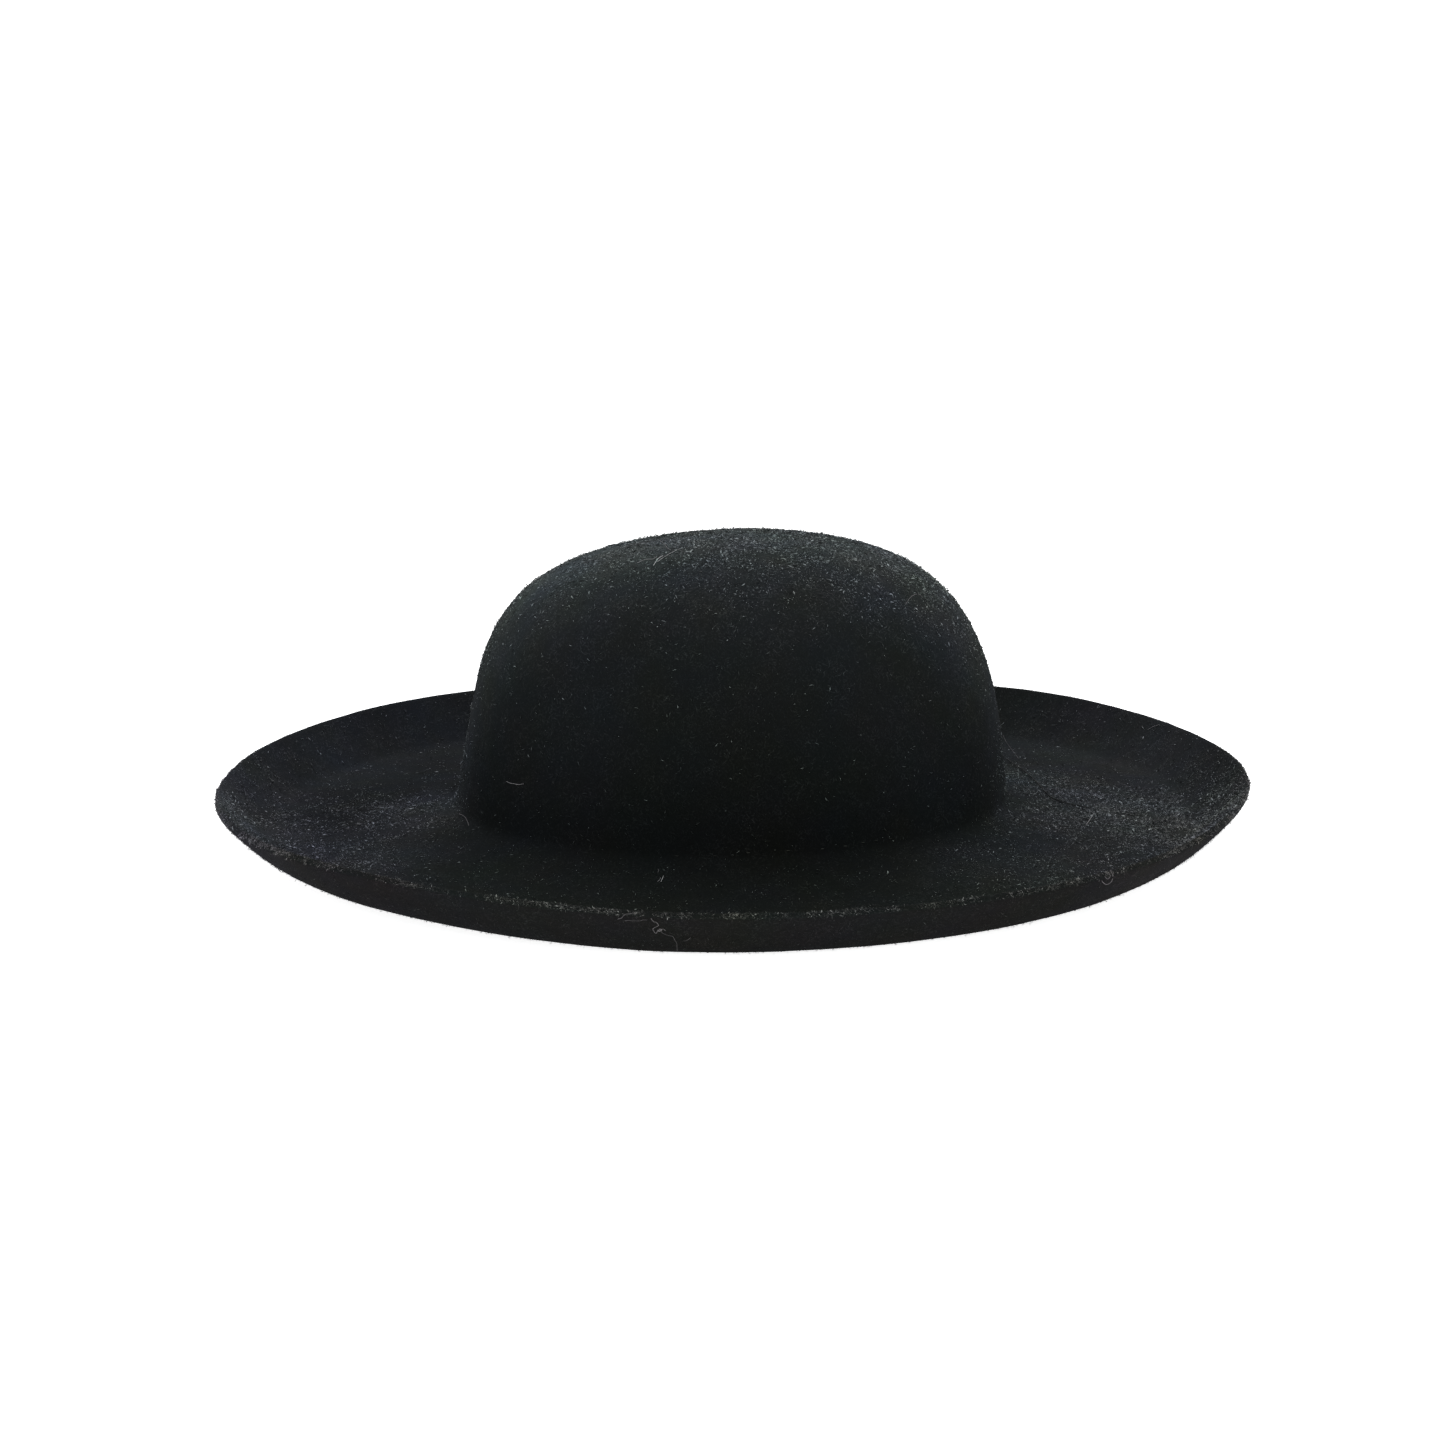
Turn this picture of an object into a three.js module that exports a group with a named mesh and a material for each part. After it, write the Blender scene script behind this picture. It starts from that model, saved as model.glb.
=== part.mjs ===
// A Breton hat: one blocked cone of black wool felt, with a smooth domed crown and a wide brim
// that dips away from the crown and curls up all round its cut edge.
//
// Lengths are in millimetres and +Z is up. +X is the wearer's front and Y runs across the head.
// The origin is on the floor that the hat rests on, below the middle of the brim.
// Angles around the hat start at the front, +X, and turn towards +Y.

import * as THREE from "three";

// Felt
const FELT_THICKNESS = 2.6;
const FELT_COLOUR = 0x2b2e2f;
const EDGE_ROUNDING = 0.6; // how far the cut edge bulges past the square cut

// Plan, measured to the middle of the felt
const CROWN_LENGTH = 201.5; // at the crown's foot
const CROWN_WIDTH = 172;
const BRIM_LENGTH = 381.4; // at the cut edge
const BRIM_WIDTH = 352;

// Heights of the middle of the felt above the floor
const CROWN_TOP_HEIGHT = 109.3;
const CROWN_FOOT_HEIGHT = 16.1; // where the wall starts to turn out into the brim
const GUTTER_HEIGHT = 3.1; // the lowest stretch of the brim, all round on average
const CUT_EDGE_HEIGHT = 19.6;

// The crown leans to the front: its top's middle lies this far ahead of its foot's
const CROWN_LEAN = 5.4;

// The crown's wall on its front, its back and its two flanks. A wall follows a squared curve
// from foot to top: a larger number in "reach" keeps it wide for longer and in "rise" keeps
// it steep for longer. "flare" is how far the foot spreads past that curve.
const CROWN_WALLS = {
  front: { reach: 2.83, rise: 2.81, flare: 3.0 },
  back: { reach: 2.74, rise: 4.41, flare: 9.0 },
  flank: { reach: 3.1, rise: 2.8, flare: 6.0 },
};

// The brim in section, from the crown's foot to the cut edge
const FOOT_RADIUS = 6; // the bend between crown and brim
const BRIM_SLOPE = 11; // degrees down, where the bend ends
const GUTTER_PLACE = 0.79; // the gutter, as a share of the way from foot to cut edge
const CURL_ANGLE = 71.5; // degrees up, at the cut edge
const SLOPE_REACH = 0.4; // how long the slope keeps its direction, as a share of its run
const CURL_FLAT_REACH = 0.27; // how long the gutter stays level before it curls
const CURL_STEEP_REACH = 0.04; // how long the curl stays steep below the cut edge

// The brim isn't quite level. It lies lower beside the head than before and behind it, most
// at the middle of its width, and its edge waves a little, more the nearer it is to the edge.
const BRIM_SAG = 2.15;
const EDGE_WAVES = [
  { crests: 2, height: 1.0, first_crest: 12 },
  { crests: 3, height: 0.92, first_crest: 8 },
  { crests: 4, height: 0.89, first_crest: -40 },
  { crests: 5, height: 0.29, first_crest: -11 },
  { crests: 6, height: 0.39, first_crest: -8 },
];

// Fineness of the faceted felt
const STEPS_AROUND = 80;
const CROWN_STEPS = 13;
const FOOT_STEPS = 3;
const SLOPE_STEPS = 7;
const CURL_STEPS = 6;

// Where the crown's wall is closer to its front, its back or its flanks, its numbers are mixed.
function crownWallAt(angle) {
  const towardsFront = (1 + Math.cos(angle)) / 2;
  const towardsFlank = Math.sin(angle) ** 2;
  const mix = (name) => {
    const alongHead = THREE.MathUtils.lerp(CROWN_WALLS.back[name], CROWN_WALLS.front[name], towardsFront);
    return THREE.MathUtils.lerp(alongHead, CROWN_WALLS.flank[name], towardsFlank);
  };
  return { reach: mix("reach"), rise: mix("rise"), flare: mix("flare") };
}

// A point of the crown. climb is 90 degrees at the top and 0 at the foot.
function crownPoint(climb, angle) {
  const wall = crownWallAt(angle);
  const height = Math.sin(climb) ** (2 / wall.rise);
  const flare = wall.flare / (CROWN_LENGTH / 2);
  const spread = Math.cos(climb) ** (2 / wall.reach) * (1 - flare) + flare * (1 - height) ** 2;
  return new THREE.Vector3(
    (CROWN_LENGTH / 2) * spread * Math.cos(angle) + CROWN_LEAN * Math.sin(climb) ** 2,
    (CROWN_WIDTH / 2) * spread * Math.sin(angle),
    THREE.MathUtils.lerp(CROWN_FOOT_HEIGHT, CROWN_TOP_HEIGHT, height),
  );
}

// The brim's section in one plane: x runs outwards from the crown's foot, y is the height.
function brimSection() {
  const radians = THREE.MathUtils.degToRad;
  const width = (BRIM_LENGTH - CROWN_LENGTH) / 2;
  const slope = radians(BRIM_SLOPE);
  const curl = radians(CURL_ANGLE);
  const bend = [];
  for (let step = 1; step <= FOOT_STEPS; step += 1) {
    const turn = (step / FOOT_STEPS) * (Math.PI / 2 - slope);
    const out = FOOT_RADIUS * (1 - Math.cos(turn));
    bend.push(new THREE.Vector2(out, CROWN_FOOT_HEIGHT - FOOT_RADIUS * Math.sin(turn)));
  }
  const bendEnd = bend.at(-1);
  const gutter = new THREE.Vector2(GUTTER_PLACE * width, GUTTER_HEIGHT);
  const cutEdge = new THREE.Vector2(width, CUT_EDGE_HEIGHT);

  const slopeReach = SLOPE_REACH * (gutter.x - bendEnd.x);
  const slopeCurve = new THREE.CubicBezierCurve(
    bendEnd,
    new THREE.Vector2(bendEnd.x + slopeReach * Math.cos(slope), bendEnd.y - slopeReach * Math.sin(slope)),
    new THREE.Vector2(gutter.x - slopeReach, gutter.y),
    gutter,
  );
  const flatReach = CURL_FLAT_REACH * (cutEdge.x - gutter.x);
  const steepReach = CURL_STEEP_REACH * (cutEdge.y - gutter.y);
  const curlCurve = new THREE.CubicBezierCurve(
    gutter,
    new THREE.Vector2(gutter.x + flatReach, gutter.y),
    new THREE.Vector2(cutEdge.x - steepReach * Math.cos(curl), cutEdge.y - steepReach * Math.sin(curl)),
    cutEdge,
  );
  return [
    ...bend,
    ...slopeCurve.getPoints(SLOPE_STEPS).slice(1),
    ...curlCurve.getPoints(CURL_STEPS).slice(1),
  ].map((point) => ({ share: point.x / width, height: point.y }));
}

// How far the brim lies above or below its even section, at a share of its width.
function brimUnevenness(share, angle) {
  const sag = BRIM_SAG * 4 * share * (1 - share) * Math.cos(2 * angle);
  const waves = EDGE_WAVES.map((wave) => {
    const turn = angle - THREE.MathUtils.degToRad(wave.first_crest);
    return wave.height * Math.cos(wave.crests * turn);
  });
  return sag + share ** 3 * waves.reduce((sum, wave) => sum + wave, 0);
}

// A point of the brim. The felt is flattened where it would sink into the floor.
function brimPoint(place, angle) {
  const halfLength = THREE.MathUtils.lerp(CROWN_LENGTH / 2, BRIM_LENGTH / 2, place.share);
  const halfWidth = THREE.MathUtils.lerp(CROWN_WIDTH / 2, BRIM_WIDTH / 2, place.share);
  const height = place.height + brimUnevenness(place.share, angle);
  return new THREE.Vector3(
    halfLength * Math.cos(angle),
    halfWidth * Math.sin(angle),
    Math.max(height, FELT_THICKNESS / 2),
  );
}

// The middle of the felt: a ring of points for each step from the crown's top to the cut edge.
function feltMiddle() {
  const angles = Array.from({ length: STEPS_AROUND }, (_, step) => (step / STEPS_AROUND) * 2 * Math.PI);
  const rings = [];
  for (let step = 1; step <= CROWN_STEPS; step += 1) {
    const climb = (1 - step / CROWN_STEPS) * (Math.PI / 2);
    rings.push(angles.map((angle) => crownPoint(climb, angle)));
  }
  for (const place of brimSection()) {
    rings.push(angles.map((angle) => brimPoint(place, angle)));
  }
  return { top: crownPoint(Math.PI / 2, 0), rings };
}

// The direction square to the felt at each point, pointing to the hat's outside. It is straight
// up where the felt is pressed flat on the floor.
function feltDirections(middle) {
  const { top, rings } = middle;
  const up = new THREE.Vector3(0, 0, 1);
  return rings.map((ring, row) =>
    ring.map((point, column) => {
      if (point.z === FELT_THICKNESS / 2) {
        return up;
      }
      const above = row > 0 ? rings[row - 1][column] : top;
      const below = row < rings.length - 1 ? rings[row + 1][column] : point;
      const next = ring[(column + 1) % STEPS_AROUND];
      const previous = ring[(column + STEPS_AROUND - 1) % STEPS_AROUND];
      const down = new THREE.Vector3().subVectors(below, above);
      const around = new THREE.Vector3().subVectors(next, previous);
      return down.cross(around).normalize();
    }),
  );
}

// Joins rings of points into one closed skin. The first and last rings are single points.
function closedSkin(rings) {
  const positions = rings.flat().flatMap((point) => point.toArray());
  const indices = [];
  const firstRing = 1;
  const corner = (row, column) => firstRing + row * STEPS_AROUND + (column % STEPS_AROUND);
  const rows = rings.length - 2;
  const lastPoint = firstRing + rows * STEPS_AROUND;
  for (let column = 0; column < STEPS_AROUND; column += 1) {
    indices.push(0, corner(0, column), corner(0, column + 1));
    for (let row = 0; row < rows - 1; row += 1) {
      indices.push(corner(row, column), corner(row + 1, column), corner(row + 1, column + 1));
      indices.push(corner(row, column), corner(row + 1, column + 1), corner(row, column + 1));
    }
    indices.push(corner(rows - 1, column), lastPoint, corner(rows - 1, column + 1));
  }
  const geometry = new THREE.BufferGeometry();
  geometry.setAttribute("position", new THREE.Float32BufferAttribute(positions, 3));
  geometry.setIndex(indices);
  geometry.computeVertexNormals();
  return geometry;
}

// The felt wall: the upper face down to the cut edge, round it, and back up inside the hat.
function feltWall() {
  const middle = feltMiddle();
  const directions = feltDirections(middle);
  const half = FELT_THICKNESS / 2;
  const up = new THREE.Vector3(0, 0, 1);
  const face = (side) => middle.rings.map((ring, row) =>
    ring.map((point, column) => point.clone().addScaledVector(directions[row][column], side * half)));
  const lastRing = middle.rings.at(-1);
  const cutEdge = lastRing.map((point, column) => {
    const outwards = new THREE.Vector3().subVectors(point, middle.rings.at(-2)[column]).normalize();
    return point.clone().addScaledVector(outwards, EDGE_ROUNDING);
  });
  return closedSkin([
    [middle.top.clone().addScaledVector(up, half)],
    ...face(1),
    cutEdge,
    ...face(-1).reverse(),
    [middle.top.clone().addScaledVector(up, -half)],
  ]);
}

function feltHat() {
  const material = new THREE.MeshStandardMaterial({ color: FELT_COLOUR, roughness: 0.95, metalness: 0 });
  const mesh = new THREE.Mesh(feltWall(), material);
  mesh.name = "felt_hat";
  return mesh;
}

const bretonHat = new THREE.Group();
bretonHat.add(feltHat());

export default bretonHat;
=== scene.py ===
# %% [markdown]
# # A Breton hat of black wool felt
#
# The real hat is one cone of wool felt, steamed and pulled over a wooden block. It has a smooth
# domed crown and a wide brim that dips away from the crown and curls up all round.
#
# Such a hat shows nothing but its felt, with no seam and no band, so this lesson is about felt:
# the body's form, a finish of matted fibres, and the loose fibres that stand proud of it.
# The pieces come in this order: frame, camera, light, finishes, body, nap, cut edge, stitches,
# and the hairs and lint that such a hat always catches.

# %% The frame
import math

import bmesh
import bpy
import numpy as np
from mathutils import Matrix, Vector, noise
from mathutils.bvhtree import BVHTree


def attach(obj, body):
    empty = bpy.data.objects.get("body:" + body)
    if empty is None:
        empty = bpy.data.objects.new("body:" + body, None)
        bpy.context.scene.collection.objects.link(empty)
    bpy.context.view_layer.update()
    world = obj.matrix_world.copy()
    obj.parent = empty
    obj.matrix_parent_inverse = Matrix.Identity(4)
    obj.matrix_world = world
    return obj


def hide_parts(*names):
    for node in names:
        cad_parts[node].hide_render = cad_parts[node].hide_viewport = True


MM = 0.001

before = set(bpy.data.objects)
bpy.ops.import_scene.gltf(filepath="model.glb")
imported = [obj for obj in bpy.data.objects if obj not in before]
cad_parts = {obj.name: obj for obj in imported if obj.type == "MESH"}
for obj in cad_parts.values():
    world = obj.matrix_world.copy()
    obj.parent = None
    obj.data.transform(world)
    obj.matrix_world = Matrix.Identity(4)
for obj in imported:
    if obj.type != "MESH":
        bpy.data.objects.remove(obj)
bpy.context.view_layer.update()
cad_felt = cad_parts["felt_hat"]

# %% [markdown]
# ## The camera
#
# The hat was photographed from its right, a little above the brim, with a long lens from about
# a metre and a half. A lens can be guessed by eye, but a brim is an oval whose height gives the
# camera's elevation away, so the numbers here were fitted to the hat's outline instead.
# The camera looks a little above the hat, which puts the hat below the picture's middle.

# %% The camera at the photo's angle
PHOTO_SIDE = 1440  # pixels
SENSOR_WIDTH = 36.0
FOCAL_PIXELS = 3961.3
CAMERA_DISTANCE = 1.480  # from the floor below the hat's middle
CAMERA_ELEVATION = 15.09  # degrees
AIM_ABOVE = 1.602  # degrees from that spot on the floor to the picture's middle
AIM_LEFT = 0.1675
CAMERA_ROLL = 0.617


def direction_at(azimuth, elevation):
    """The direction from the hat towards a camera, with both angles in degrees."""
    turn, rise = math.radians(azimuth), math.radians(elevation)
    return Vector((math.sin(turn) * math.cos(rise), -math.cos(turn) * math.cos(rise), math.sin(rise)))


camera_place = direction_at(0, CAMERA_ELEVATION) * CAMERA_DISTANCE
camera_axis = -direction_at(AIM_LEFT, CAMERA_ELEVATION - AIM_ABOVE)
level_right = camera_axis.cross(Vector((0, 0, 1))).normalized()
level_up = level_right.cross(camera_axis)
roll = math.radians(CAMERA_ROLL)
camera_right = level_right * math.cos(roll) - level_up * math.sin(roll)
camera_up = level_right * math.sin(roll) + level_up * math.cos(roll)

camera = bpy.data.objects.new("camera", bpy.data.cameras.new("camera"))
bpy.context.scene.collection.objects.link(camera)
turned = Matrix((camera_right, camera_up, -camera_axis)).transposed()
camera.matrix_world = Matrix.Translation(camera_place) @ turned.to_4x4()
camera.data.sensor_width = SENSOR_WIDTH
camera.data.lens = FOCAL_PIXELS / PHOTO_SIDE * SENSOR_WIDTH
camera.data.clip_start = 0.1
camera.data.clip_end = 60.0
bpy.context.scene.camera = camera
print("lens:", round(camera.data.lens, 2), "mm, camera at", [round(v, 3) for v in camera_place])

# %% [markdown]
# ## Floor and light
#
# Black felt sends back about a hundredth of the light, so it is shaped by what is brighter:
# the top of the crown and the brim face the light overhead, while the side of the crown faces
# a pale room. One wide soft lamp, high up and behind the hat, gives that. A sun lamp is used
# because it lights a large floor evenly, and its wide angle makes it as soft as a light box.
#
# Goods are often photographed on a light table, a pale top that glows from below. The glow
# keeps the floor white and leaves hardly any shadow, so that the brim's lower edge shows.

# %% A pale floor that glows
FLOOR_RADIUS = 14.0
FLOOR_SIDES = 96
FLOOR_TONE = (0.86, 0.86, 0.86, 1.0)
FLOOR_GLOW = 1.05


def make_floor():
    """A wide pale disc that the hat lies on."""
    mesh = bpy.data.meshes.new("floor")
    grid = bmesh.new()
    bmesh.ops.create_circle(grid, cap_ends=True, segments=FLOOR_SIDES, radius=FLOOR_RADIUS)
    grid.to_mesh(mesh)
    grid.free()
    floor = bpy.data.objects.new("floor", mesh)
    bpy.context.scene.collection.objects.link(floor)
    paint = bpy.data.materials.new("pale_floor")
    paint.use_nodes = True
    shader = paint.node_tree.nodes["Principled BSDF"]
    shader.inputs["Base Color"].default_value = FLOOR_TONE
    shader.inputs["Roughness"].default_value = 0.9
    shader.inputs["Specular IOR Level"].default_value = 0.2
    shader.inputs["Emission Color"].default_value = FLOOR_TONE
    shader.inputs["Emission Strength"].default_value = FLOOR_GLOW
    mesh.materials.append(paint)
    return floor


floor = make_floor()
print(floor.name, "of radius", FLOOR_RADIUS, "m")

# %% A soft lamp and a pale room
LAMP_POWER = 1.75
LAMP_SIZE = 45  # degrees of the sky
LAMP_BEHIND = 35  # degrees that it leans away from the camera
ROOM_TONE = (0.97, 0.985, 1.0, 1.0)
ROOM_POWER = 0.76


def make_light():
    """One soft lamp high behind the hat, and an even room."""
    lamp = bpy.data.objects.new("soft_lamp", bpy.data.lights.new("soft_lamp", "SUN"))
    bpy.context.scene.collection.objects.link(lamp)
    lamp.data.energy = LAMP_POWER
    lamp.data.angle = math.radians(LAMP_SIZE)
    lamp.rotation_euler = (-math.radians(LAMP_BEHIND), 0, 0)
    room = bpy.data.worlds.new("room")
    room.use_nodes = True
    room.node_tree.nodes["Background"].inputs["Color"].default_value = ROOM_TONE
    room.node_tree.nodes["Background"].inputs["Strength"].default_value = ROOM_POWER
    bpy.context.scene.world = room
    bpy.context.scene.view_settings.view_transform = "Standard"
    return lamp


lamp = make_light()
print(lamp.name, "over", LAMP_SIZE, "degrees of the sky")

# %% [markdown]
# ## Finishes: small helpers for shader nodes
#
# Felt is a mat of fibres that lie in every direction. Three effects make its finish: the strokes
# of lying fibres, the drift of the dye's tint, and the places where the felt is greyer, some of
# which are painted sheen and painted shade. Loose fibres share the tint. An image could show all
# this, but a pattern worked out from each point's place has no seams and needs no unwrapping.
# Each effect is a node group with named sockets, built once, and a material sets its own values on it.
#
# A few helpers keep the groups short enough to read: one for an empty group, and one for each
# kind of node that is used often.


# %% Helpers: a group and its sockets
def new_group(name, inputs, outputs):
    """An empty shader node group with these named sockets. A value is the socket's start value."""
    tree = bpy.data.node_groups.new(name, "ShaderNodeTree")
    for title, value in inputs.items():
        kind = "NodeSocketFloat" if isinstance(value, float) else "NodeSocketVector"
        kind = "NodeSocketColor" if isinstance(value, tuple) and len(value) == 4 else kind
        socket = tree.interface.new_socket(title, in_out="INPUT", socket_type=kind)
        socket.default_value = value
    for title, kind in outputs.items():
        tree.interface.new_socket(title, in_out="OUTPUT", socket_type=kind)
    return tree, tree.nodes.new("NodeGroupInput"), tree.nodes.new("NodeGroupOutput")


def feed(tree, socket, value):
    """Gives a socket its value: another node's output, or a number, vector or colour."""
    if isinstance(value, bpy.types.NodeSocket):
        tree.links.new(value, socket)
    else:
        socket.default_value = value


print("helpers:", new_group.__name__, "and", feed.__name__)


# %% Helpers: sums, vectors and soft ranges
def math_node(tree, operation, *values, clamp=False):
    """A Math node and its result."""
    made = tree.nodes.new("ShaderNodeMath")
    made.operation = operation
    made.use_clamp = clamp
    for socket, value in zip(made.inputs, values):
        feed(tree, socket, value)
    return made.outputs["Value"]


def vector_node(tree, operation, *values, scale=None):
    """A Vector Math node and its result: a number for a dot product or a length."""
    made = tree.nodes.new("ShaderNodeVectorMath")
    made.operation = operation
    for socket, value in zip(made.inputs, values):
        feed(tree, socket, value)
    if scale is not None:
        feed(tree, made.inputs["Scale"], scale)
    return made.outputs["Value" if operation in ("DOT_PRODUCT", "LENGTH") else "Vector"]


def smooth_range(tree, value, start, end, low=0.0, high=1.0):
    """Goes smoothly from low to high as the value goes from start to end."""
    made = tree.nodes.new("ShaderNodeMapRange")
    made.interpolation_type = "SMOOTHSTEP"
    given = {"Value": value, "From Min": start, "From Max": end, "To Min": low, "To Max": high}
    for name, number in given.items():
        feed(tree, made.inputs[name], number)
    return made.outputs["Result"]


print("helpers:", [helper.__name__ for helper in (math_node, vector_node, smooth_range)])

# %% [markdown]
# ### Fibres that lie in the surface
#
# Close up, felt shows short bright strokes in all directions, each a fibre that catches the
# light. Stretched noise gives strokes in one direction only. Here the space is split into
# random cells instead, and each cell draws one stroke through its middle, at an angle of its
# own, flattened into the surface. Three sizes of cell laid over each other look matted.

# %% Group: lying fibres
SHARP_WIDTH = 0.4  # the share of a stroke's width that is at full strength
SHARP_LENGTH = 0.5  # and of its length


def make_lying_fibres():
    """One stroke in each random cell. Cell is in metres; Length and Width are shares of a cell."""
    tree, given, result = new_group(
        "lying fibres",
        {"Place": (0.0, 0.0, 0.0), "Cell": 0.002, "Length": 0.8, "Width": 0.06, "Share": 0.6},
        {"Strokes": "NodeSocketFloat"},
    )
    facing = tree.nodes.new("ShaderNodeNewGeometry").outputs["Normal"]
    per_cell = math_node(tree, "DIVIDE", 1.0, given.outputs["Cell"])
    place = vector_node(tree, "SCALE", given.outputs["Place"], scale=per_cell)
    cells = tree.nodes.new("ShaderNodeTexVoronoi")
    cells.inputs["Scale"].default_value = 1.0
    feed(tree, cells.inputs["Vector"], place)

    def flattened(vector):
        depth = vector_node(tree, "DOT_PRODUCT", vector, facing)
        return vector_node(tree, "SUBTRACT", vector, vector_node(tree, "SCALE", facing, scale=depth))

    from_middle = flattened(vector_node(tree, "SUBTRACT", place, cells.outputs["Position"]))
    random_way = vector_node(tree, "SUBTRACT", cells.outputs["Color"], (0.5, 0.5, 0.5))
    way = vector_node(tree, "NORMALIZE", flattened(random_way))
    along = vector_node(tree, "DOT_PRODUCT", from_middle, way)
    sideways = vector_node(tree, "SUBTRACT", from_middle, vector_node(tree, "SCALE", way, scale=along))
    across = vector_node(tree, "LENGTH", sideways)
    width = given.outputs["Width"]
    thin = smooth_range(tree, across, math_node(tree, "MULTIPLY", width, SHARP_WIDTH), width, 1.0, 0.0)
    reach = math_node(tree, "MULTIPLY", given.outputs["Length"], 0.5)
    far = math_node(tree, "ABSOLUTE", along)
    short = smooth_range(tree, far, math_node(tree, "MULTIPLY", reach, SHARP_LENGTH), reach, 1.0, 0.0)

    luck = tree.nodes.new("ShaderNodeTexWhiteNoise")
    feed(tree, luck.inputs["Vector"], cells.outputs["Position"])
    kept = math_node(tree, "LESS_THAN", luck.outputs["Value"], given.outputs["Share"])
    spread = math_node(tree, "DIVIDE", luck.outputs["Value"], given.outputs["Share"])
    bright = math_node(tree, "MULTIPLY", kept, spread)
    stroke = math_node(tree, "MULTIPLY", math_node(tree, "MULTIPLY", thin, short), bright)
    feed(tree, result.inputs["Strokes"], stroke)
    return tree


lying_fibres = make_lying_fibres()
print("group:", lying_fibres.name, "with", len(lying_fibres.nodes), "nodes")

# %% [markdown]
# ### The dye's tint
#
# Black dye never takes quite evenly: this felt drifts between blue, green and brown from one
# patch to the next, and its brim is a little bluer at the back than at the front. The body and
# every loose fibre share this tint, so that the fibres belong to the felt below them.
#
# Three channels of one noise give the drift, least of it for green and most for blue. The
# slower change along the hat is a short table of directions.


# %% Group: dye tint
TINT_PATCH = 24 * MM
TINT_DETAIL = 3.0
TINT_DRIFT = (0.30, 0.10, 0.50)  # how much red, green and blue drift
TINT_PLACES = (  # a tint for what lies beyond some distance, in mm, in one direction
    {"where": "back", "towards": (-1, 0, 0), "from": 85, "to": 125, "tint": (1.06, 1.0, 1.11, 1.0)},
    {"where": "front", "towards": (1, 0, 0), "from": 90, "to": 130, "tint": (1.06, 1.0, 1.03, 1.0)},
    {"where": "right side", "towards": (0, -1, 0), "from": 55, "to": 100, "tint": (1.0, 1.0, 0.90, 1.0)},
)
MIX_COLOURS = (6, 7)  # a Mix node's sockets for colours, which come after those for numbers
MIX_RESULT = 2


def mixed_colour(tree, share, first, second, blend="MIX"):
    """A Mix Color node and its result."""
    made = tree.nodes.new("ShaderNodeMix")
    made.data_type = "RGBA"
    made.blend_type = blend
    feed(tree, made.inputs["Factor"], share)
    for socket, colour in zip(MIX_COLOURS, (first, second)):
        feed(tree, made.inputs[socket], colour)
    return made.outputs[MIX_RESULT]


def make_dye_tint():
    """A faint drift of tint over a colour. Strength 0 leaves the colour as it is."""
    tree, given, result = new_group(
        "dye tint",
        {"Place": (0.0, 0.0, 0.0), "Tone": (0.5, 0.5, 0.5, 1.0), "Strength": 1.0},
        {"Color": "NodeSocketColor"},
    )
    patches = tree.nodes.new("ShaderNodeTexNoise")
    patches.inputs["Scale"].default_value = 1 / TINT_PATCH
    patches.inputs["Detail"].default_value = TINT_DETAIL
    feed(tree, patches.inputs["Vector"], given.outputs["Place"])
    middle = tuple(1 - drift / 2 for drift in TINT_DRIFT)
    tint = vector_node(tree, "MULTIPLY_ADD", patches.outputs["Color"], TINT_DRIFT, middle)
    for row in TINT_PLACES:
        distance = vector_node(tree, "DOT_PRODUCT", given.outputs["Place"], row["towards"])
        share = smooth_range(tree, distance, row["from"] * MM, row["to"] * MM)
        tint = mixed_colour(tree, share, tint, row["tint"], "MULTIPLY")
    toned = mixed_colour(tree, given.outputs["Strength"], given.outputs["Tone"], tint, "MULTIPLY")
    feed(tree, result.inputs["Color"], toned)
    return tree


dye_tint = make_dye_tint()
print("group:", dye_tint.name, "with tints for", [row["where"] for row in TINT_PLACES])
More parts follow.
